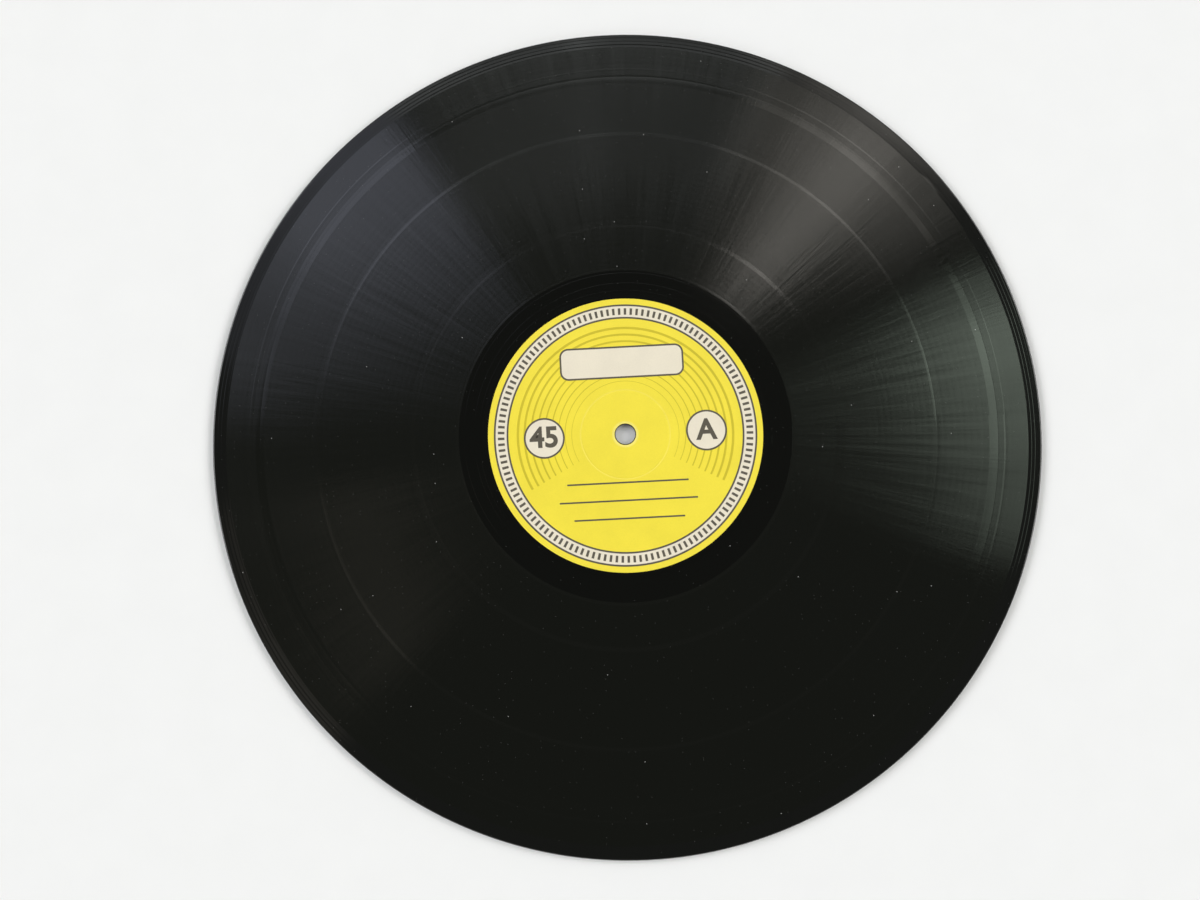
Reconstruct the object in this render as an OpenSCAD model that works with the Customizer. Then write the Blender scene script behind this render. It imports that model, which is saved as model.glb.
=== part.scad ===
// A twelve-inch single: a disc pressed in black vinyl, with a round paper label moulded into
// each face and a spindle hole through all three.
//
// The origin lies on the axis of the spindle hole, level with the label that the record rests
// on, and +Z comes up out of side A. Heights inside the disc are counted from its mid-plane.
//
// Each face carries one unbroken groove, from the lead-in on the rim to the locked ring beside
// the label. Seen from its own side it winds in counter-clockwise, because the disc turns
// clockwise under the stylus. A cut groove is about 0.06 mm wide with turns 0.2 mm apart; it is
// drawn wider and in fewer turns here, so that every turn can be seen and measured. Recorded
// turns are drawn wide, and silent ones narrow: the lead-in, the marks between the tracks and
// the lead-out.

/* [Disc] */
// Diameter of the disc
disc_d = 301.6; // [290:0.2:312]
// Diameter of the spindle hole
hole_d = 7.24; // [6.8:0.02:7.8]
// Width and depth of the chamfer where the hole leaves the vinyl
hole_chamfer = 0.1; // [0.05:0.05:0.3]
// Thickness of the raised centre, labels included
centre_t = 2.1; // [1.9:0.05:2.8]
// Thickness where the groove is cut
land_t = 1.4; // [1.25:0.05:1.55]
// Thickness of the raised rim
rim_t = 1.8; // [1.65:0.05:1.95]

/* [Raised centre and rim] */
// Width of the ring of vinyl that stands level with the label, round its edge
collar_w = 0.75; // [0.4:0.05:1.6]
// Width of the slope from that ring down to the land
centre_slope_w = 1.4; // [0.8:0.1:2.4]
// Distance from the edge of the disc to where the rim starts to rise
rim_w = 4.4; // [4.2:0.1:6]
// Width of the slope up to the rim's crest
rim_slope_w = 3.2; // [2.4:0.1:3.2]
// Radius that rounds the edge of the disc
edge_r = 0.8; // [0.3:0.05:0.9]

/* [Labels] */
// Diameter of a label
label_d = 100; // [92:0.5:108]
// Thickness of the label paper
label_t = 0.15; // [0.1:0.01:0.25]
// Clearance between a label's edge and the vinyl that it is moulded into
label_edge_gap = 0.05; // [0.02:0.01:0.2]
// Amount by which the hole in the paper is clear of the hole in the vinyl, all round
label_hole_gap = 0.05; // [0.02:0.01:0.1]
// Diameter of the ring that the press leaves in the label
press_ring_d = 32.2; // [20:0.2:60]
// Width of that ring
press_ring_w = 0.8; // [0.4:0.1:2]
// Depth of that ring
press_ring_depth = 0.05; // [0.02:0.01:0.08]
// Width of the dished edge that the centre pin leaves round the hole
dish_w = 1.3; // [0.5:0.1:3]
// Depth of the dish where it meets the hole
dish_depth = 0.06; // [0.02:0.01:0.08]

/* [Groove] */
// Spacing of the drawn turns
pitch = 2.8; // [2.4:0.1:4]
// Width at the face of a recorded turn
recorded_w = 1.2; // [0.6:0.1:1.4]
// Depth of a recorded turn
recorded_depth = 0.15; // [0.12:0.01:0.2]
// Width at the face of a silent turn
silent_w = 0.4; // [0.2:0.05:0.6]
// Depth of a silent turn
silent_depth = 0.1; // [0.08:0.01:0.15]
// Least distance from the edge of the disc to the start of the groove
lead_in_inset = 1.6; // [1.4:0.1:3]
// Distance from the edge of the disc to the recorded turns
music_inset = 5; // [4:0.1:10]
// Radius of the middle of the mark after the first track
first_mark_r = 133.2; // [118:0.2:140]
// Radius of the middle of the mark after the second track
second_mark_r = 112.2; // [90:0.2:116]
// Radius of the middle of the mark after the third track
third_mark_r = 77; // [66:0.2:88]
// Radius where the recorded turns end
music_end_r = 61.8; // [56:0.2:65]
// Distance from the foot of the raised centre to the middle of the locked ring
lock_margin = 1; // [0.6:0.1:2]

/* [Hidden] */
$fn = 180;

vinyl_colour = "#161616";
label_colour = "#f4e13f";

disc_r = disc_d / 2;
hole_r = hole_d / 2;
label_r = label_d / 2;
label_hole_r = hole_r + label_hole_gap;

// Radii where the pressed face changes its slope
seat_r = label_r + label_edge_gap;
collar_r = seat_r + collar_w;
centre_foot_r = collar_r + centre_slope_w;
rim_foot_r = disc_r - rim_w;
crest_r = rim_foot_r + rim_slope_w;

// Heights above the mid-plane
seat_z = centre_t / 2 - label_t;
centre_z = centre_t / 2;
land_z = land_t / 2;
rim_z = rim_t / 2;

// The edge's rounding leaves a narrow band upright, so that it never uses up the whole rim
edge_band = 0.1;
edge_steps = 4;
edge = min(edge_r, (rim_t - edge_band) / 2);

// Points of the pressed face outside its label, as radius and height
face_line = [
    [seat_r, centre_z],
    [collar_r, centre_z],
    [centre_foot_r, land_z],
    [rim_foot_r, land_z],
    [crest_r, rim_z],
    [disc_r - edge, rim_z]
];

function face_z(r) = lookup(r, face_line);

// One face of the vinyl in section, from the hole out to the middle of its edge
function half_section() = concat(
    [[hole_r, seat_z - hole_chamfer], [hole_r + hole_chamfer, seat_z], [seat_r, seat_z]],
    face_line,
    [for (i = [1 : edge_steps])
        let (a = 90 * i / edge_steps)
        [disc_r - edge + edge * sin(a), rim_z - edge + edge * cos(a)]]
);

function reversed(points) = [for (i = [len(points) - 1 : -1 : 0]) points[i]];
function mirrored(points) = [for (p = points) [p[0], -p[1]]];

// Turns of the groove, counted inwards from its start at start_r to the locked ring at lock_r
lock_r = centre_foot_r + lock_margin;
turns = floor((disc_r - lead_in_inset - lock_r) / pitch);
start_r = lock_r + turns * pitch;
marks = [first_mark_r, second_mark_r, third_mark_r];

function turn_r(i) = start_r - i * pitch;
function in_mark(i) = len([for (r = marks) if (r <= turn_r(i) && r > turn_r(i + 1)) r]) > 0;
function in_music(i) = let (r = turn_r(i + 0.5)) r < disc_r - music_inset && r > music_end_r;
function silent(i) = !in_music(i) || in_mark(i);
function turn_w(i) = silent(i) ? silent_w : recorded_w;
function turn_depth(i) = silent(i) ? silent_depth : recorded_depth;
function turn_reach(i) = tooth_reach(turn_w(i), turn_depth(i));

// One turn in section, as a tooth of the cutter: it comes out of the face by cutter_rise, and
// tooth_reach is its half width there. The rise also clears the rim's slope, over which a half
// turn of the spiral moves a little outwards.
cutter_rise = 0.08;
function tooth_reach(w, depth) = w / 2 * (1 + cutter_rise / depth);
function tooth(r, w, depth) = [
    [r + tooth_reach(w, depth), face_z(r) + cutter_rise],
    [r, face_z(r) - depth],
    [r - tooth_reach(w, depth), face_z(r) + cutter_rise]
];

// The teeth of every turn at one angle, on a backbone above the face
module groove_section(inward) {
    first_r = turn_r(0) - inward;
    last_r = turn_r(turns - 1) - inward;
    polygon(concat(
        [
            [last_r - turn_reach(turns - 1), face_z(last_r) + 2 * cutter_rise],
            [first_r + turn_reach(0), face_z(first_r) + 2 * cutter_rise]
        ],
        [for (i = [0 : turns - 1]) each tooth(turn_r(i) - inward, turn_w(i), turn_depth(i))]
    ));
}

// The groove is a spiral of two centres: half turns about a point a quarter of the pitch to one
// side of the axis, and half turns about its mirror image. Each half turn meets the next on the
// X axis, with the same section and the same direction, and the last one meets the locked ring.
module groove() {
    centre_shift = pitch / 4;
    for (half = [0, 1])
        rotate([0, 0, 180 * half])
            translate([centre_shift, 0, 0])
                rotate_extrude(angle = 180)
                    groove_section((1 + 2 * half) * centre_shift);
    rotate_extrude()
        polygon(tooth(lock_r, silent_w, silent_depth));
}

module disc() {
    color(vinyl_colour)
        translate([0, 0, centre_z])
            difference() {
                rotate_extrude()
                    polygon(concat(half_section(), reversed(mirrored(half_section()))));
                groove();
                rotate([180, 0, 0])
                    groove();
            }
}

// A label, drawn from its seat up
module label() {
    color(label_colour)
        rotate_extrude()
            polygon([
                [label_hole_r, 0],
                [label_r, 0],
                [label_r, label_t],
                [(press_ring_d + press_ring_w) / 2, label_t],
                [press_ring_d / 2, label_t - press_ring_depth],
                [(press_ring_d - press_ring_w) / 2, label_t],
                [label_hole_r + dish_w, label_t],
                [label_hole_r, label_t - dish_depth]
            ]);
}

module label_a() {
    translate([0, 0, centre_t - label_t])
        label();
}

module label_b() {
    translate([0, 0, label_t])
        rotate([180, 0, 0])
            label();
}

disc();
label_a();
label_b();
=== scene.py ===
"""Looks of a twelve-inch single in black vinyl with a yellow paper label on each side."""

import math

import bpy
from mathutils import Matrix, Vector


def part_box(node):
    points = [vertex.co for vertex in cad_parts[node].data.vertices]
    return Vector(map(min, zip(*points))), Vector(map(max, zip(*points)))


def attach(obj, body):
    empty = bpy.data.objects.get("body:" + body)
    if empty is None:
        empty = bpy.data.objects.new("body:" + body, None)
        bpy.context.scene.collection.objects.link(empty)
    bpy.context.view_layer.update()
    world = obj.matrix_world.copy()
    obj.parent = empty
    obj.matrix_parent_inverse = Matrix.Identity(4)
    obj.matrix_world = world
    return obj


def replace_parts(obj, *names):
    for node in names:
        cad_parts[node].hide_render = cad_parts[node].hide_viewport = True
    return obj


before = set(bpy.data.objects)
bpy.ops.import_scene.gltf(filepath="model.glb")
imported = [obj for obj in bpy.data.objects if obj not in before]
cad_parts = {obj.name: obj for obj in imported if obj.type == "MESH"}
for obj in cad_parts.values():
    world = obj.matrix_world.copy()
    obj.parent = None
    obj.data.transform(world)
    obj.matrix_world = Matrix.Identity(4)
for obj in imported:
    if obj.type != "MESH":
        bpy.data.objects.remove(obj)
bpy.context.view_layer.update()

MM = 0.001

disc_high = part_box("disc")[1]
DISC_R = disc_high.x / MM
CENTRE_T = disc_high.z / MM
MIDDLE_Z = CENTRE_T / 2

# Millimetres that the CAD source also holds. Heights of the face count from the middle plane.
HOLE_R = 3.62
HOLE_CHAMFER = 0.1
LAND_Z = 0.7
SEAT_DEPTH = 0.15
SEAT_R = 50.05
COLLAR_R = 50.8
CENTRE_FOOT_R = 52.2
EDGE_R = 0.8
LOCK_R = 53.2
LABEL_R = 50.0
PRESS_RING_R = 16.1
PRESS_RING_HALF_W = 0.4
PRESS_RING_DEPTH = 0.05
DISH_W = 1.3
DISH_DEPTH = 0.06

# Millimetres where the photograph is followed past the CAD source: the rim's band starts 0.6
# further in, rises by 0.02 more and slopes on to the rounding of the edge, and the hole in the
# label's paper has a radius larger by 0.25
RIM_FOOT_R = DISC_R - 5.0
RIM_Z = 0.92
CREST_R = DISC_R - EDGE_R
LABEL_HOLE_R = 3.92

SEAT_Z = MIDDLE_Z - SEAT_DEPTH

# Straight steps to a whole turn, and steps round the rounding of the edge
SEGMENTS = 240
EDGE_STEPS = 33

# The rim's slope leaves the land by 3.0 degrees, which stays crisp, and each step of the edge's
# rounding turns by 2.7 degrees, which stays smooth
SHARP_ANGLE = math.radians(2.9)

# Points of the two sides that lie closer than this, in millimetres, are joined
WELD_REACH = 0.001

# The real groove's turns are 0.2 mm apart, so those drawn here stand for several of them. From
# each of these radii inwards the face has the look of its stretch.
STRETCHES = [
    # radius where the stretch starts, drawn turns in it, kind
    (149.5, 3, "lead_in"),
    (RIM_FOOT_R, 4, "recorded"),
    (137.7, 1, "mark"),
    (137.3, 1, "recorded"),
    (135.0, 1, "gap"),
    (132.0, 8, "recorded"),
    (113.0, 1, "mark"),
    (111.8, 15, "recorded"),
    (78.2, 1, "mark"),
    (76.6, 7, "recorded"),
    (61.9, 1, "mark"),
    (60.7, 2, "lead_out"),
]
LEAD_IN_TURNS = STRETCHES[0][1]

# Sizes in millimetres of a turn where it starts, by its kind. They run on evenly to those of the
# next turn.
GROOVE_HALF_W = {"lead_in": 0.16, "gap": 0.10, "mark": 0.10, "recorded": 0.2, "lead_out": 0.05}
GROOVE_DEPTH = {
    "lead_in": 0.009,
    "gap": 0.006,
    "mark": 0.003,
    "recorded": 0.0015,
    "lead_out": 0.003,
}

# Share of the first turn over which the groove comes to its depth
GROOVE_START_SHARE = 1 / 12

# Looks of the face, in the order of the disc's materials. A kind that isn't here looks smooth.
SURFACES = ["recorded", "mark", "gap", "lead_in", "smooth"]


def link(obj):
    """Adds an object to the scene as a piece that stays with the part."""
    bpy.context.scene.collection.objects.link(obj)
    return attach(obj, "root")


def mesh_object(name, points_mm, faces, materials, face_materials=None):
    """A smooth-shaded mesh piece from points in millimetres, sharp where its faces turn."""
    mesh = bpy.data.meshes.new(name)
    mesh.from_pydata([Vector(p) * MM for p in points_mm], [], faces)
    for material in materials:
        mesh.materials.append(material)
    if face_materials:
        mesh.polygons.foreach_set("material_index", face_materials)
    mesh.shade_smooth()
    mesh.set_sharp_from_angle(angle=SHARP_ANGLE)
    mesh.update()
    return link(bpy.data.objects.new(name, mesh))


def turned_over(points):
    """The same points for side B: half a turn about the X axis, inside the disc's thickness."""
    return [(x, -y, CENTRE_T - z) for x, y, z in points]


def on_circle(radius, z, count=SEGMENTS):
    """Points round the Z axis, counter-clockwise from +X."""
    steps = [2 * math.pi * j / count for j in range(count)]
    return [(radius * math.cos(a), radius * math.sin(a), z) for a in steps]


def between_rings(outer, inner, count=SEGMENTS):
    """Faces from one ring of vertices, given by its first index, to the next one inwards."""
    rows = [(j, (j + 1) % count) for j in range(count)]
    return [(outer + j, outer + k, inner + k, inner + j) for j, k in rows]


# The disc's pressed face

FACE_LINE = [
    (SEAT_R, MIDDLE_Z),
    (COLLAR_R, MIDDLE_Z),
    (CENTRE_FOOT_R, LAND_Z),
    (RIM_FOOT_R, LAND_Z),
    (CREST_R, RIM_Z),
]


def face_z(radius):
    """Height of the pressed face above the disc's middle plane."""
    for (r0, z0), (r1, z1) in zip(FACE_LINE, FACE_LINE[1:]):
        if radius <= r1:
            return z0 + (z1 - z0) * (radius - r0) / (r1 - r0)
    return RIM_Z


def groove_turns():
    """The radii where the groove's turns start, and at last the locked ring's, and their kinds."""
    radii, kinds = [], []
    ends = [stretch[0] for stretch in STRETCHES[1:]] + [LOCK_R]
    for (outer, turns, kind), inner in zip(STRETCHES, ends):
        radii += [outer + (inner - outer) * i / turns for i in range(turns)]
        kinds += [kind] * turns
    return radii + [LOCK_R], kinds


def along(values, turn, share):
    """A value partway through a turn, between those at its start and at the next one's."""
    return values[turn] + (values[turn + 1] - values[turn]) * share


def groove_points(radii, kinds):
    """Three points per step along the groove: outer lip, bottom and inner lip."""
    kinds_on = kinds + ["lead_out", "lead_out"]
    radii_on = radii + [LOCK_R]
    half_widths = [GROOVE_HALF_W[kind] for kind in kinds_on]
    depths = [GROOVE_DEPTH[kind] for kind in kinds_on]
    points = []
    for t in range((len(kinds) + 1) * SEGMENTS):
        turn, step = divmod(t, SEGMENTS)
        share = step / SEGMENTS
        ramp = min(1, t / (SEGMENTS * GROOVE_START_SHARE))
        radius = along(radii_on, turn, share)
        half_w = along(half_widths, turn, share)
        depth = along(depths, turn, share) * ramp
        room = (radii[-2] - LOCK_R) * (1 - share) / 2
        outer_w = min(half_w, room) if turn == len(kinds) else half_w
        inner_w = min(half_w, room) if turn == len(kinds) - 1 else half_w
        angle = 2 * math.pi * share
        for r, sunk in ((radius + outer_w, 0), (radius, depth), (radius - inner_w, 0)):
            z = MIDDLE_Z + face_z(r) - sunk
            points.append((r * math.cos(angle), r * math.sin(angle), z))
    return points


def border_points(points, radii, kinds, first):
    """Circles where the face changes its look, each on the land after the last turn of a stretch.

    Gives their points, and the index of each circle's first point by the turn before it. A circle
    has no point at step 0, where the groove crosses it.
    """
    least_gap = 0.004
    circles, starts = [], {}
    for turn in range(len(kinds) - 1):
        if kinds[turn] == kinds[turn + 1]:
            continue
        starts[turn] = first + len(circles) - 1
        for step in range(1, SEGMENTS):
            t = turn * SEGMENTS + step
            outer = math.hypot(*points[3 * t + 2][:2]) - least_gap
            inner = math.hypot(*points[3 * (t + SEGMENTS)][:2]) + least_gap
            r = max(inner, min(outer, radii[turn + 1]))
            angle = 2 * math.pi * step / SEGMENTS
            circles.append((r * math.cos(angle), r * math.sin(angle), MIDDLE_Z + face_z(r)))
    return circles, starts


class GrooveFaces:
    """Faces of the groove and the land beside it, with their kinds.

    A point's index is three times its step t along the groove, plus its column: 0 for the outer
    lip, 1 for the bottom and 2 for the inner lip. Each turn ends where the next one starts, and
    the last one runs into the locked ring at step `merge`, where its inner lip and the ring's
    outer lip have both closed on the bottom of the groove.
    """

    def __init__(self, kinds, borders):
        self.kinds = kinds + ["lead_out", "lead_out"]
        self.borders = borders
        self.merge = len(kinds) * SEGMENTS
        self.last = self.merge + SEGMENTS
        self.faces = []
        self.face_kinds = []

    def add(self, kind, *corners):
        """Adds one face, whose corners may coincide."""
        self.faces.append(tuple(dict.fromkeys(corners)))
        self.face_kinds.append(kind)

    def after(self, t, column):
        """The point one step further on, in the same column."""
        if t + 1 == self.merge:
            return 3 * self.merge + min(column, 1)
        if t + 1 == self.last:
            return 3 * self.merge + max(column, 1)
        return 3 * (t + 1) + column

    def add_walls(self, t):
        """The groove's two walls."""
        kind = self.kinds[t // SEGMENTS]
        for column in (0, 1):
            outer, outer_on = 3 * t + column, self.after(t, column)
            self.add(kind, outer, outer_on, self.after(t, column + 1), outer + 1)

    def add_land(self, t):
        """The land from a turn's inner lip to the next turn's outer lip, split by any border."""
        turn, step = divmod(t, SEGMENTS)
        outer, outer_on = 3 * t + 2, self.after(t, 2)
        inner, inner_on = 3 * (t + SEGMENTS), self.after(t + SEGMENTS, 0)
        if turn not in self.borders:
            self.add(self.kinds[turn], outer, outer_on, inner_on, inner)
            return
        first = self.borders[turn]
        border = inner if step == 0 else first + step
        border_on = outer_on if step + 1 == SEGMENTS else first + step + 1
        self.add(self.kinds[turn], outer, outer_on, border_on, border)
        self.add(self.kinds[turn + 1], border, border_on, inner_on, inner)

    def add_centre(self, t, foot):
        """The land from the locked ring to the ring of points at the raised centre's foot."""
        turn, step = divmod(t, SEGMENTS)
        step_on = (step + 1) % SEGMENTS
        self.add(self.kinds[turn], 3 * t + 2, self.after(t, 2), foot + step_on, foot + step)

    def add_rim(self, crest):
        """The rim's slope, from the ring of points at its crest to the first turn."""
        for step in range(SEGMENTS - 1):
            inner, inner_on = 3 * step, self.after(step, 0)
            self.add("lead_in", crest + step, crest + step + 1, inner_on, inner)
        seam = [0, 1, 2, 3 * SEGMENTS, 3 * (SEGMENTS - 1)]
        self.add("lead_in", crest + SEGMENTS - 1, crest, *seam)


def groove_faces(kinds, borders, crest, foot):
    """Faces and their kinds, from the ring of points at the crest to the one at the foot."""
    groove = GrooveFaces(kinds, borders)
    for t in range(groove.last):
        groove.add_walls(t)
        if t < groove.merge:
            groove.add_land(t)
        else:
            groove.add_centre(t, foot)
    groove.add_rim(crest)
    return groove.faces, groove.face_kinds


def outside_line():
    """The vinyl in section from the middle of its edge to the crest, as radius and height."""
    quarter = [math.radians(90) * i / EDGE_STEPS for i in range(EDGE_STEPS + 1)]
    centre_r, centre_z = DISC_R - EDGE_R, RIM_Z - EDGE_R
    edge = [(centre_r + EDGE_R * math.cos(a), centre_z + EDGE_R * math.sin(a)) for a in quarter]
    return [(DISC_R, 0)] + edge


def inside_line():
    """The vinyl in section from the raised centre's foot to the middle of the hole's wall."""
    seat_lip = 0.06
    return [
        (CENTRE_FOOT_R, LAND_Z),
        (COLLAR_R, MIDDLE_Z),
        (SEAT_R + seat_lip, MIDDLE_Z),
        (SEAT_R, MIDDLE_Z - seat_lip),
        (SEAT_R, SEAT_Z),
        (HOLE_R + HOLE_CHAMFER, SEAT_Z),
        (HOLE_R, SEAT_Z - HOLE_CHAMFER),
        (HOLE_R, 0),
    ]


def disc_side():
    """Side A of the vinyl, from the middle of its edge to the middle of the hole's wall."""
    radii, kinds = groove_turns()
    points = groove_points(radii, kinds)
    circles, borders = border_points(points, radii, kinds, len(points))
    points += circles

    outside, inside = outside_line(), inside_line()
    first = len(points)
    for radius, z in outside + inside:
        points += on_circle(radius, MIDDLE_Z + z)
    starts = [first + i * SEGMENTS for i in range(len(outside) + len(inside))]
    crest, foot = starts[len(outside) - 1], starts[len(outside)]
    faces, face_kinds = groove_faces(kinds, borders, crest, foot)
    for outer, inner in zip(starts, starts[1:]):
        if outer != crest:
            faces += between_rings(outer, inner)
            face_kinds += ["lead_out"] * SEGMENTS
    return points, faces, face_kinds


def sharpen_lead_in(mesh, side_points):
    """Marks the lips of the lead-in as sharp, also where it flattens into the first recorded turn.

    The edges along the groove join points three apart, and those along its bottom stay smooth.
    """
    recorded_share = 1 / 8
    bottom_column = 1
    last = 3 * SEGMENTS * (LEAD_IN_TURNS + recorded_share)
    for edge in mesh.edges:
        low, high = sorted(v % side_points for v in edge.vertices)
        if high - low == 3 and high < last and low % 3 != bottom_column:
            edge.use_edge_sharp = True


def disc_piece(materials):
    """Both sides of the vinyl as one mesh, welded round the edge and in the hole."""
    points, faces, face_kinds = disc_side()
    count = len(points)
    other_faces = [tuple(count + v for v in face) for face in faces]
    looks = [kind if kind in SURFACES else "smooth" for kind in face_kinds]
    indices = [SURFACES.index(look) for look in looks]
    disc = mesh_object(
        "disc_vinyl", points + turned_over(points), faces + other_faces, materials, indices * 2
    )
    sharpen_lead_in(disc.data, count)
    weld = disc.modifiers.new("join_sides", "WELD")
    weld.merge_threshold = WELD_REACH * MM
    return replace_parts(disc, "disc")


# Labels, in millimetres and degrees

# The inks start inside the paper. Each ends a little higher than the one before it, and the last
# is level with the vinyl's collar.
PAPER_TOP = CENTRE_T - 0.015
INK_TOPS = {"olive": CENTRE_T - 0.010, "cream": CENTRE_T - 0.005, "dark": CENTRE_T}
INK_BOTTOM = PAPER_TOP - 0.01

# The printed design
LETTER_WEIGHT = 0.28
LETTER_STEPS = 6
KEYLINE_W = 0.65
BAND_INNER_R = 43.2
BAND_OUTER_R = 47.2
STROBE_BARS = 133
STROBE_INNER_R = 44.0
STROBE_OUTER_R = 46.4
STROBE_BAR_SHARE = 0.42
ARC_COUNT = 9
ARC_FIRST_R = 19.5
ARC_STEP = 2.45
ARC_THIN_W = 0.15
ARC_THICK_W = 0.85
ARC_START = -28
ARC_END = 208
BADGE_R = 6.8
BADGE_STEPS = 48
BADGE_LETTER_H = 10.5
SIDE_BADGE_X = 29.5
SPEED_BADGE_X = -29.5
# centre, width, height and radius of the corners
TITLE_PANEL = ((0, 26.5), 44, 10.5, 2.5)
# height on the label and length
WRITING_LINES = [(-17.5, 44), (-24, 50), (-30.5, 40)]
WRITING_LINE_W = 0.6
WRITING_LINE_CORNER = 0.1
WRITING_LINE_CORNER_STEPS = 2


def label_profile():
    """The paper in section, as radius and height, from the underside's inner edge round."""
    top = PAPER_TOP
    bottom = CENTRE_T - SEAT_DEPTH
    ring_steps = 8
    dish_steps = 6
    edge_chamfer = 0.04
    ring = []
    for i in range(ring_steps + 1):
        share = 1 - 2 * i / ring_steps
        sunk = PRESS_RING_DEPTH * math.cos(share * math.pi / 2) ** 2
        ring.append((PRESS_RING_R + share * PRESS_RING_HALF_W, top - sunk))
    dish = []
    for i in range(dish_steps + 1):
        share = i / dish_steps
        dish.append((LABEL_HOLE_R + DISH_W * (1 - share), top - DISH_DEPTH * share ** 2))
    return (
        [(LABEL_HOLE_R, bottom), (LABEL_R, bottom)]
        + [(LABEL_R, top - edge_chamfer), (LABEL_R - edge_chamfer, top)]
        + ring
        + dish
    )


def revolved(profile, count=SEGMENTS):
    """Points and faces of a closed section turned about the Z axis."""
    points = []
    for radius, z in profile:
        points += on_circle(radius, z, count)
    faces = []
    for i in range(len(profile)):
        after = (i + 1) % len(profile)
        faces += between_rings(i * count, after * count, count)
    return points, faces


def ink_section(inner, outer, top):
    """A band of ink in section, as radius and height."""
    return [(inner, INK_BOTTOM), (outer, INK_BOTTOM), (outer, top), (inner, top)]


def plate_shape(outline, top):
    """A thin plate with a convex outline that runs counter-clockwise."""
    count = len(outline)
    points = [(x, y, INK_BOTTOM) for x, y in outline] + [(x, y, top) for x, y in outline]
    sides = [(j, (j + 1) % count, count + (j + 1) % count, count + j) for j in range(count)]
    return points, sides + [tuple(range(count - 1, -1, -1)), tuple(range(count, 2 * count))]


def frame_shape(outer, inner, top):
    """A plate's border: the band between two outlines with the same number of points."""
    count = len(outer)
    rows = [(x, y, INK_BOTTOM) for x, y in inner] + [(x, y, INK_BOTTOM) for x, y in outer]
    rows += [(x, y, top) for x, y in outer] + [(x, y, top) for x, y in inner]
    faces = []
    for i in range(4):
        faces += between_rings(i * count, (i + 1) % 4 * count, count)
    return rows, faces


def rounded_bar(centre, width, height, corner, steps=8):
    """Outline of a bar with rounded corners, counter-clockwise."""
    cx, cy = centre
    outline = []
    for quarter, (sx, sy) in enumerate(((1, 1), (-1, 1), (-1, -1), (1, -1))):
        for i in range(steps + 1):
            angle = math.radians(90) * (quarter + i / steps)
            x = cx + sx * (width / 2 - corner) + corner * math.cos(angle)
            y = cy + sy * (height / 2 - corner) + corner * math.sin(angle)
            outline.append((x, y))
    return outline


def letters_shape(text, centre, height, top):
    """Plain lettering, centred on a point, as a thin solid in millimetres."""
    curve = bpy.data.curves.new("lettering", "FONT")
    curve.body = text
    curve.align_x = "CENTER"
    curve.align_y = "CENTER"
    curve.size = height
    curve.resolution_u = LETTER_STEPS
    curve.offset = LETTER_WEIGHT
    curve.extrude = (top - INK_BOTTOM) / 2
    holder = bpy.data.objects.new("lettering", curve)
    mesh = bpy.data.meshes.new_from_object(holder)
    lift = Vector((*centre, (top + INK_BOTTOM) / 2))
    points = [tuple(v.co + lift) for v in mesh.vertices]
    faces = [tuple(p.vertices) for p in mesh.polygons]
    bpy.data.objects.remove(holder)
    bpy.data.curves.remove(curve)
    bpy.data.meshes.remove(mesh)
    return points, faces


def joined(shapes):
    """Several shapes' points and faces as one."""
    points, faces = [], []
    for shape_points, shape_faces in shapes:
        start = len(points)
        points += shape_points
        faces += [tuple(start + v for v in face) for face in shape_faces]
    return points, faces


def arc_shape(inner, outer, top, start, end):
    """Part of a ring between two angles in degrees."""
    count = round(SEGMENTS * (end - start) / 360)
    angles = [math.radians(start + (end - start) * i / count) for i in range(count + 1)]
    section = ink_section(inner, outer, top)
    points = []
    for a in angles:
        points += [(r * math.cos(a), r * math.sin(a), z) for r, z in section]
    faces = [(3, 2, 1, 0), tuple(4 * count + i for i in range(4))]
    for i in range(count):
        for j in range(4):
            k = (j + 1) % 4
            faces.append((4 * i + j, 4 * i + k, 4 * i + 4 + k, 4 * i + 4 + j))
    return points, faces


def strobe_bar(index, top):
    """One bar of the ring by which a lamp on the mains shows whether the speed is right."""
    pitch = 2 * math.pi / STROBE_BARS
    start = index * pitch
    end = start + pitch * STROBE_BAR_SHARE
    corners = [(STROBE_INNER_R, start), (STROBE_OUTER_R, start)]
    corners += [(STROBE_OUTER_R, end), (STROBE_INNER_R, end)]
    return plate_shape([(r * math.cos(a), r * math.sin(a)) for r, a in corners], top)


def olive_print():
    """Arcs about the hole, each a little thicker than the one inside it."""
    shapes = []
    for i in range(ARC_COUNT):
        half = (ARC_THIN_W + (ARC_THICK_W - ARC_THIN_W) * i / (ARC_COUNT - 1)) / 2
        radius = ARC_FIRST_R + i * ARC_STEP
        ends = (ARC_START, ARC_END)
        shapes.append(arc_shape(radius - half, radius + half, INK_TOPS["olive"], *ends))
    return joined(shapes)


def badge_outline(centre_x, radius):
    """A round badge's outline, counter-clockwise."""
    return [(centre_x + x, y) for x, y, z in on_circle(radius, 0, BADGE_STEPS)]


def cream_print():
    """The pale grounds: the strobe's band, the title panel and the two badges."""
    top = INK_TOPS["cream"]
    shapes = [
        revolved(ink_section(BAND_INNER_R, BAND_OUTER_R, top)),
        plate_shape(rounded_bar(*TITLE_PANEL), top),
        plate_shape(badge_outline(SIDE_BADGE_X, BADGE_R), top),
        plate_shape(badge_outline(SPEED_BADGE_X, BADGE_R), top),
    ]
    return joined(shapes)


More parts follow.
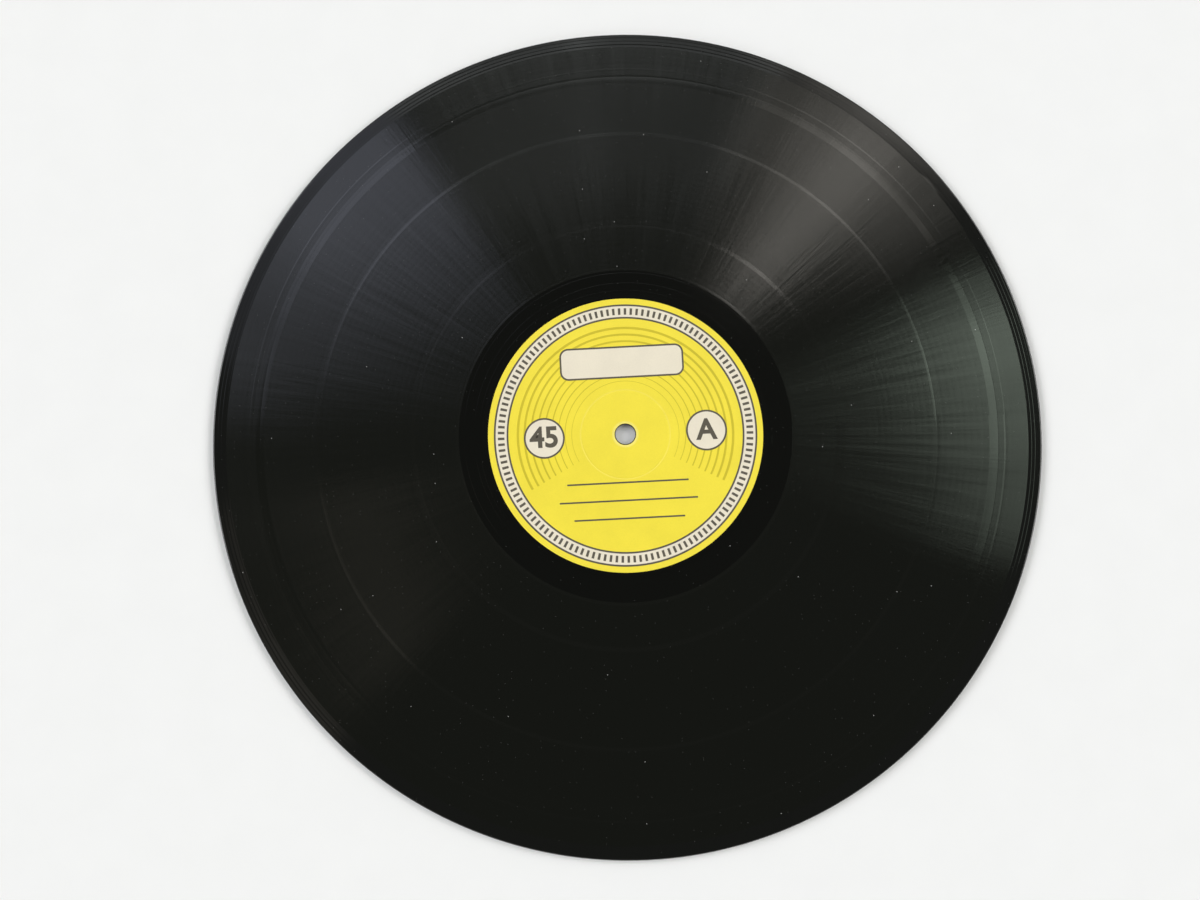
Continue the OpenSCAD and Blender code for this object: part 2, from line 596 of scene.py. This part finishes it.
def dark_print(side_letter):
    """The keylines round the pale grounds, the lettering, the strobe and the writing lines."""
    top = INK_TOPS["dark"]
    centre, width, height, corner = TITLE_PANEL
    grown = (centre, width + 2 * KEYLINE_W, height + 2 * KEYLINE_W, corner + KEYLINE_W)
    shapes = [
        revolved(ink_section(BAND_INNER_R - KEYLINE_W, BAND_INNER_R, top)),
        revolved(ink_section(BAND_OUTER_R, BAND_OUTER_R + KEYLINE_W, top)),
        frame_shape(rounded_bar(*grown), rounded_bar(*TITLE_PANEL), top),
    ]
    for x, text in ((SIDE_BADGE_X, side_letter), (SPEED_BADGE_X, "45")):
        edges = [badge_outline(x, BADGE_R + grow) for grow in (KEYLINE_W, 0)]
        shapes.append(frame_shape(*edges, top))
        shapes.append(letters_shape(text, (x, 0), BADGE_LETTER_H, top))
    shapes += [strobe_bar(i, top) for i in range(STROBE_BARS)]
    corners = (WRITING_LINE_CORNER, WRITING_LINE_CORNER_STEPS)
    for y, length in WRITING_LINES:
        line = rounded_bar((0, y), length, WRITING_LINE_W, *corners)
        shapes.append(plate_shape(line, top))
    return joined(shapes)


def label_pieces(side, paper_look, ink_looks):
    """The paper and the three inks of one label."""
    shapes = {
        "paper": revolved(label_profile()),
        "olive": olive_print(),
        "cream": cream_print(),
        "dark": dark_print(side.upper()),
    }
    for part, (points, faces) in shapes.items():
        placed = points if side == "a" else turned_over(points)
        material = paper_look if part == "paper" else ink_looks[part]
        piece = mesh_object(f"label_{side}_{part}", placed, faces, [material])
        if part == "paper":
            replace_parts(piece, "label_" + side)


# Materials

# Sockets of a Mix node that mixes colours
MIX_SHARE = 0
MIX_ONE = 6
MIX_OTHER = 7
MIX_RESULT = 2


class Nodes:
    """A material's node tree, with short calls to add nodes and link them."""

    def __init__(self, name):
        self.material = bpy.data.materials.new(name)
        self.material.use_nodes = True
        self.tree = self.material.node_tree
        self.shader = self.tree.nodes["Principled BSDF"]

    def fill(self, socket, value):
        """Links another node's output to a socket, or sets its value."""
        if isinstance(value, bpy.types.NodeSocket):
            self.tree.links.new(value, socket)
        else:
            socket.default_value = value

    def set(self, node, inputs):
        for name, value in inputs.items():
            self.fill(node.inputs[name], value)

    def new(self, kind, inputs, **settings):
        """A node with its settings and inputs."""
        node = self.tree.nodes.new("ShaderNode" + kind)
        for name, value in settings.items():
            setattr(node, name, value)
        self.set(node, inputs)
        return node

    def add(self, kind, inputs, output=0, **settings):
        """One output of a new node."""
        return self.new(kind, inputs, **settings).outputs[output]

    def maths(self, operation, *values):
        return self.add("Math", dict(enumerate(values)), operation=operation)

    def ramp(self, value, low, high, to_low=0.0, to_high=1.0):
        inputs = {"Value": value, "From Min": low, "From Max": high}
        inputs.update({"To Min": to_low, "To Max": to_high})
        return self.add("MapRange", inputs)

    def noise(self, vector, scale, detail=2.0, roughness=0.5):
        inputs = {"Vector": vector, "Scale": scale, "Detail": detail, "Roughness": roughness}
        return self.add("TexNoise", inputs)

    def mix_colour(self, share, one, other):
        inputs = {MIX_SHARE: share, MIX_ONE: one, MIX_OTHER: other}
        return self.add("Mix", inputs, output=MIX_RESULT, data_type="RGBA")

    def place(self):
        return self.add("TexCoord", {}, output="Object")

    def axes(self, place):
        node = self.new("SeparateXYZ", {"Vector": place})
        return node.outputs["X"], node.outputs["Y"]

    def radius(self, x, y):
        squares = self.maths("ADD", self.maths("MULTIPLY", x, x), self.maths("MULTIPLY", y, y))
        return self.maths("SQRT", squares)


# Noises, as scale, detail and, unless it is 0.5, roughness. The streaks run along the radius,
# because their noise is read by direction from the centre and only slowly by radius.
STREAK_NOISE = (60, 5.0, 0.72)
STREAK_RADIUS_SHARE = 0.3
RING_NOISE = (420, 5.0, 0.7)
GRAIN_NOISE = (1800, 2.0)
CLOUD_NOISE = (90, 3.0)
FIBRE_NOISE = (2600, 4.0, 0.7)
FLOOR_NOISE = (60, 3.0)

# The sum of rings, streaks and grain runs over WORN_RANGE, and moves the vinyl's roughness by up
# to ROUGHNESS_SPREAD either way
WORN_RANGE = (1.1, 1.9)
ROUGHNESS_SPREAD = 0.012

# Weight of the streaks against the rings in the bumps of the grooved face, and the bumps' height
# in metres
STREAK_WEIGHT = 4.0
FACE_BUMP = 3.5e-6

# Outside this radius, in millimetres, the tracks scatter light a little more widely
OUTER_TRACKS_R = 113

# Dust, as cells per metre, radius in metres and share of the cells that hold a speck. A speck is
# solid out to DUST_CORE of its radius, and powder is only POWDER_STRENGTH as strong as lint.
LINT = (85, 0.00020, 0.08)
POWDER = (420, 0.00010, 0.10)
POWDER_STRENGTH = 0.35
DUST_CORE = 0.6
DUST_COLOUR = (0.30, 0.30, 0.29, 1)


def specks(n, place, scale, radius, share):
    """Mask of round specks of dust: their radius in metres, and the share of cells with one."""
    cells = n.new("TexVoronoi", {"Vector": place, "Scale": scale}, voronoi_dimensions="2D")
    edge = radius * scale
    near = n.ramp(cells.outputs["Distance"], edge * DUST_CORE, edge, 1.0, 0.0)
    drawn = n.add("SeparateXYZ", {"Vector": cells.outputs["Color"]}, output="X")
    return n.maths("MULTIPLY", near, n.maths("LESS_THAN", drawn, share))


def dust_mask(n, place):
    """Mask of lint, and of powder that is finer and fainter."""
    lint = specks(n, place, *LINT)
    powder = specks(n, place, *POWDER)
    return n.maths("ADD", lint, n.maths("MULTIPLY", powder, POWDER_STRENGTH))


def groove_shine(n, dial, rings, streaks, lean):
    """Shader inputs of the fine turns: light spreads across them, which is along the radius.

    The streaks tip the normal along the radius too, by up to `lean` either way.
    """
    quarter_turn = 0.25
    height = n.maths("ADD", rings, n.maths("MULTIPLY", streaks, STREAK_WEIGHT))
    bumps = n.add("Bump", {"Height": height, "Distance": FACE_BUMP, "Strength": 1.0})
    leaning = n.ramp(streaks, 0.0, 1.0, -lean, lean)
    parts = {axis: n.maths("MULTIPLY", share, leaning) for axis, share in zip("XY", dial)}
    tilted = n.add("VectorMath", {0: bumps, 1: n.add("CombineXYZ", parts)}, operation="ADD")
    return {
        "Normal": n.add("VectorMath", {0: tilted}, operation="NORMALIZE"),
        "Anisotropic": 1.0,
        "Anisotropic Rotation": quarter_turn,
        "Tangent": n.add("Tangent", {}, direction_type="RADIAL", axis="Z"),
    }


def vinyl(name, roughness, outer_rise, lean, specular, colour):
    """Pressed vinyl, a little worn and dusty.

    Its roughness rises by `outer_rise` on the outer tracks. `lean` is the most that the streaks
    tip the normal, and is 0 where there are no fine turns.
    """
    n = Nodes(name)
    place = n.place()
    x, y = n.axes(place)
    radius = n.radius(x, y)

    dial = [n.maths("DIVIDE", axis, radius) for axis in (x, y)]
    streak_radius = n.maths("MULTIPLY", radius, STREAK_RADIUS_SHARE)
    streak_place = n.add("CombineXYZ", {"X": dial[0], "Y": dial[1], "Z": streak_radius})
    streaks = n.noise(streak_place, *STREAK_NOISE)
    rings = n.noise(n.add("CombineXYZ", {"X": radius}), *RING_NOISE)
    grain = n.noise(place, *GRAIN_NOISE)
    worn = n.maths("ADD", n.maths("ADD", rings, streaks), grain)
    ends = (roughness - ROUGHNESS_SPREAD, roughness + ROUGHNESS_SPREAD)
    spread = n.ramp(worn, *WORN_RANGE, *ends)
    outside = n.maths("GREATER_THAN", radius, OUTER_TRACKS_R * MM)

    values = {
        "Base Color": n.mix_colour(dust_mask(n, place), (*colour, 1), DUST_COLOUR),
        "Roughness": n.maths("ADD", spread, n.maths("MULTIPLY", outside, outer_rise)),
        "Specular IOR Level": specular,
    }
    if lean:
        values.update(groove_shine(n, dial, rings, streaks, lean))
    n.set(n.shader, values)
    return n.material


# Painted highlights on the paper: a lighter ring by the press ring and a lighter rim round the
# hole, in millimetres. Each pair says where the painted highlight is full and where it has faded
# out.
PAINTED_HIGHLIGHT_RING_R = PRESS_RING_R + 0.2
PAINTED_HIGHLIGHT_RING_HALF_WIDTHS = (0.1, 0.3)
PAINTED_HIGHLIGHT_RIM_RADII = (LABEL_HOLE_R + 0.5, LABEL_HOLE_R + 1.1)
PAINTED_HIGHLIGHT_RING_SHARE = 0.35
# Lighter yellow of the painted highlight
PAINTED_HIGHLIGHT_COLOUR = (0.98, 0.93, 0.45, 1)

# The paper's fibres: shade of the darkest against the lightest, height in metres, spread of the
# roughness either way, and the ranges of the noises that these run over
FIBRE_SHADE = 0.93
FIBRE_BUMP = 1.2e-5
PAPER_ROUGHNESS_SPREAD = 0.05
FIBRE_RANGE = (0.3, 0.7)
TONE_RANGE = (0.75, 1.25)


def painted_press_highlight(n, place, pressed):
    """Mask of the painted highlight, a lighter ring and rim, as strong as `pressed`."""
    radius = n.radius(*n.axes(place))
    away = n.maths("ABSOLUTE", n.maths("SUBTRACT", radius, PAINTED_HIGHLIGHT_RING_R * MM))
    full, faded = [width * MM for width in PAINTED_HIGHLIGHT_RING_HALF_WIDTHS]
    ring = n.ramp(away, full, faded, pressed * PAINTED_HIGHLIGHT_RING_SHARE, 0.0)
    full, faded = [rim_radius * MM for rim_radius in PAINTED_HIGHLIGHT_RIM_RADII]
    rim = n.ramp(radius, full, faded, pressed, 0.0)
    return n.maths("ADD", ring, rim)


def paper(name, colour, roughness, pressed=0.0):
    """Printed label paper, faint fibres, and a painted highlight by the press ring and hole."""
    n = Nodes(name)
    place = n.place()
    cloud = n.noise(place, *CLOUD_NOISE)
    fibre = n.noise(place, *FIBRE_NOISE)
    shade = [c * FIBRE_SHADE for c in colour] + [1]
    tone = n.ramp(n.maths("ADD", cloud, fibre), *TONE_RANGE)
    surface_colour = n.mix_colour(tone, shade, [*colour, 1])
    # Mixes in the painted highlight by the press ring and round the hole, as strong as `pressed`
    if pressed:
        surface_colour = n.mix_colour(painted_press_highlight(n, place, pressed), surface_colour, PAINTED_HIGHLIGHT_COLOUR)
    ends = (roughness - PAPER_ROUGHNESS_SPREAD, roughness + PAPER_ROUGHNESS_SPREAD)
    values = {
        "Base Color": surface_colour,
        "Roughness": n.ramp(fibre, *FIBRE_RANGE, *ends),
        "Specular IOR Level": 0.4,
        "Normal": n.add("Bump", {"Height": fibre, "Distance": FIBRE_BUMP, "Strength": 0.5}),
    }
    n.set(n.shader, values)
    return n.material


# Stage, lights and camera

# The label's print stands 2.9 degrees counter-clockwise of the photograph's frame
PHOTO_TURN = math.radians(-2.9)

# Half of the floor's width and its height in metres: it lies just below the record
FLOOR_HALF = 12.0
FLOOR_Z = -0.00004
FLOOR_COLOURS = ((0.83, 0.83, 0.825, 1), (0.86, 0.86, 0.855, 1))

# Metres from the origin to each light, and how far below a light's upper edge its width is right
LIGHT_DISTANCE = 30.0
WIDTH_HOLDS_BELOW = math.radians(3)

# The room is pale up to the first of these heights in degrees, and dim from the second on
ROOM_FADE = (30, 40)
ROOM_PALE = (0.86, 0.86, 0.86, 1)
ROOM_DIM = (0.072, 0.070, 0.066, 1)

# The photograph's camera, fitted to the ellipses of the rim and the label: its place in
# millimetres from the middle of the label in the photograph's frame, its tilts and its lens
CAMERA_PLACE = (-5.6, -29.1, 329.1)
CAMERA_PITCH = math.radians(4.06)
CAMERA_ROLL = math.radians(0.63)
CAMERA_LENS = 27.27
CAMERA_SENSOR = 36


def floor():
    """A plain pale floor that reaches well past the view."""
    signs = ((-1, -1), (1, -1), (1, 1), (-1, 1))
    corners = [(x * FLOOR_HALF, y * FLOOR_HALF, FLOOR_Z) for x, y in signs]
    mesh = bpy.data.meshes.new("floor")
    mesh.from_pydata(corners, [], [(0, 1, 2, 3)])
    n = Nodes("floor_paper")
    grain = n.noise(n.place(), *FLOOR_NOISE)
    colour = n.mix_colour(grain, *FLOOR_COLOURS)
    n.set(n.shader, {"Base Color": colour, "Roughness": 0.9, "Specular IOR Level": 0.1})
    mesh.materials.append(n.material)
    plane = bpy.data.objects.new("floor", mesh)
    bpy.context.scene.collection.objects.link(plane)


def light_axes(phi, theta):
    """A light's sideways and upwards directions and its direction from the origin."""
    outwards = Vector(
        (math.sin(theta) * math.cos(phi), math.sin(theta) * math.sin(phi), math.cos(theta))
    )
    sideways = Vector((-math.sin(phi), math.cos(phi), 0))
    return sideways, outwards.cross(sideways), outwards


def window_light(name, azimuths, tilts, colour, radiance):
    """A soft light far off, between two azimuths and two tilts from +Z, in degrees.

    Azimuths are counted from the photograph's +X, and hold near the light's upper edge.
    """
    first, last = [math.radians(a) + PHOTO_TURN for a in azimuths]
    upper, lower = [math.radians(t) for t in tilts]
    phi, theta = (first + last) / 2, (upper + lower) / 2
    span_theta = upper + WIDTH_HOLDS_BELOW
    reach = LIGHT_DISTANCE * math.sin(span_theta) / math.cos(theta - span_theta)
    light = bpy.data.lights.new(name, "AREA")
    light.shape = "RECTANGLE"
    light.size = 2 * reach * math.tan((last - first) / 2)
    light.size_y = 2 * LIGHT_DISTANCE * math.tan((lower - upper) / 2)
    light.color = colour
    light.energy = radiance * math.pi * light.size * light.size_y
    lamp = bpy.data.objects.new(name, light)
    axes = light_axes(phi, theta)
    turn = Matrix(axes).transposed()
    lamp.matrix_world = Matrix.Translation(axes[2] * LIGHT_DISTANCE) @ turn.to_4x4()
    lamp.visible_camera = False
    bpy.context.scene.collection.objects.link(lamp)


def room():
    """A dim room above and a pale one all round, for rays that miss everything."""
    world = bpy.data.worlds.new("room")
    world.use_nodes = True
    bpy.context.scene.world = world
    tree = world.node_tree
    place = tree.nodes.new("ShaderNodeTexCoord")
    axes = tree.nodes.new("ShaderNodeSeparateXYZ")
    height = tree.nodes.new("ShaderNodeMapRange")
    pale_up_to, dim_from = [math.sin(math.radians(degrees)) for degrees in ROOM_FADE]
    height.inputs["From Min"].default_value = pale_up_to
    height.inputs["From Max"].default_value = dim_from
    mix = tree.nodes.new("ShaderNodeMix")
    mix.data_type = "RGBA"
    mix.inputs[MIX_ONE].default_value = ROOM_PALE
    mix.inputs[MIX_OTHER].default_value = ROOM_DIM
    tree.links.new(place.outputs["Generated"], axes.inputs[0])
    tree.links.new(axes.outputs["Z"], height.inputs["Value"])
    tree.links.new(height.outputs[0], mix.inputs[MIX_SHARE])
    tree.links.new(mix.outputs[MIX_RESULT], tree.nodes["Background"].inputs["Color"])


def camera():
    """The photograph's camera, turned with the photograph's frame."""
    turn = Matrix.Rotation(PHOTO_TURN, 3, "Z")
    roll = Matrix.Rotation(CAMERA_ROLL, 3, "Y")
    pitch = Matrix.Rotation(CAMERA_PITCH, 3, "X")
    aim = turn @ roll @ pitch
    data = bpy.data.cameras.new("camera")
    data.sensor_width = CAMERA_SENSOR
    data.lens = CAMERA_LENS
    seen = bpy.data.objects.new("camera", data)
    spot = (turn @ Vector(CAMERA_PLACE) + Vector((0, 0, CENTRE_T))) * MM
    seen.matrix_world = Matrix.Translation(spot) @ aim.to_4x4()
    bpy.context.scene.collection.objects.link(seen)
    bpy.context.scene.camera = seen


GROOVED_BLACK = (0.0043, 0.0049, 0.0036)
RIM_BLACK = (0.0053, 0.0057, 0.0050)
SMOOTH_BLACK = (0.0026, 0.0029, 0.0023)
VINYL_LOOKS = [
    # name, roughness, its rise on the outer tracks, lean, specular level, colour
    ("vinyl_recorded", 0.1124, 0.008, 0.036, 0.5, GROOVED_BLACK),
    ("vinyl_mark", 0.090, 0.008, 0.012, 0.68, GROOVED_BLACK),
    ("vinyl_gap", 0.080, 0.0, 0.006, 0.56, GROOVED_BLACK),
    ("vinyl_rim", 0.08, 0.0, 0.0, 0.40, RIM_BLACK),
    ("vinyl_smooth", 0.08, 0.0, 0.0, 0.5, SMOOTH_BLACK),
]
disc_piece([vinyl(*look) for look in VINYL_LOOKS])

# pressed sets the strength of the painted highlight by the press ring and round the hole
label_paper = paper("label_yellow", (0.890, 0.738, 0.052), roughness=0.5, pressed=0.3)
label_inks = {
    "olive": paper("ink_olive", (0.610, 0.496, 0.024), roughness=0.5),
    "cream": paper("ink_cream", (0.815, 0.745, 0.597), roughness=0.5),
    "dark": paper("ink_dark", (0.102, 0.089, 0.065), roughness=0.45),
}
for label_side in ("a", "b"):
    label_pieces(label_side, label_paper, label_inks)

floor()

GREENISH = (0.84, 1.0, 0.83)
WARM = (1.0, 0.957, 0.88)
NEUTRAL = (0.955, 1.0, 0.994)
BLUISH = (0.79, 0.83, 1.0)
AMBER = (1.0, 0.9, 0.75)
COOL_DAY = (0.97, 0.98, 1.0)
WARM_DAY = (1.0, 0.99, 0.97)
PANELS = [
    # name, azimuths, tilts, colour, radiance
    ("right_wide", (-6, 34.0), (21.5, 33), GREENISH, 1.65),
    ("right_middle", (8, 29), (22, 33), GREENISH, 0.90),
    ("right_core", (19, 27), (23, 33), GREENISH, 0.85),
    ("upper_wide", (40.5, 72), (22, 31), WARM, 1.00),
    ("upper_middle", (47, 65), (22, 31), WARM, 0.85),
    ("upper_core", (51, 59), (22.3, 31), WARM, 1.10),
    ("upper_high", (52, 65.5), (17.2, 19.8), WARM, 1.9),
    ("upper_high_core", (54.5, 62), (17.2, 19.8), WARM, 3.3),
    ("top_high", (70, 93), (21.3, 22.9), NEUTRAL, 1.30),
    ("top_high_left", (93, 116), (20.8, 22.5), NEUTRAL, 1.50),
    ("top_low", (70, 116), (28.2, 38), NEUTRAL, 1.05),
    ("left_wide", (117, 164), (21, 35), BLUISH, 0.65),
    ("left_middle", (117.5, 149), (21, 35), BLUISH, 0.54),
    ("left_core", (118.5, 141), (21, 35), BLUISH, 0.62),
    ("left_low", (154, 170), (24, 35), BLUISH, 0.25),
    ("left_high", (116, 154), (16, 21), BLUISH, 0.40),
    ("left_high_core", (116, 129), (16, 21), BLUISH, 0.35),
    ("low_left", (175.5, 214), (13.5, 16.5), AMBER, 0.45),
    ("window_left", (135, 195), (49, 71), COOL_DAY, 6.6),
    ("window_right", (-15, 45), (49, 71), WARM_DAY, 6.6),
]
for panel in PANELS:
    window_light(*panel)
room()
camera()

bpy.context.scene.view_settings.view_transform = "Standard"
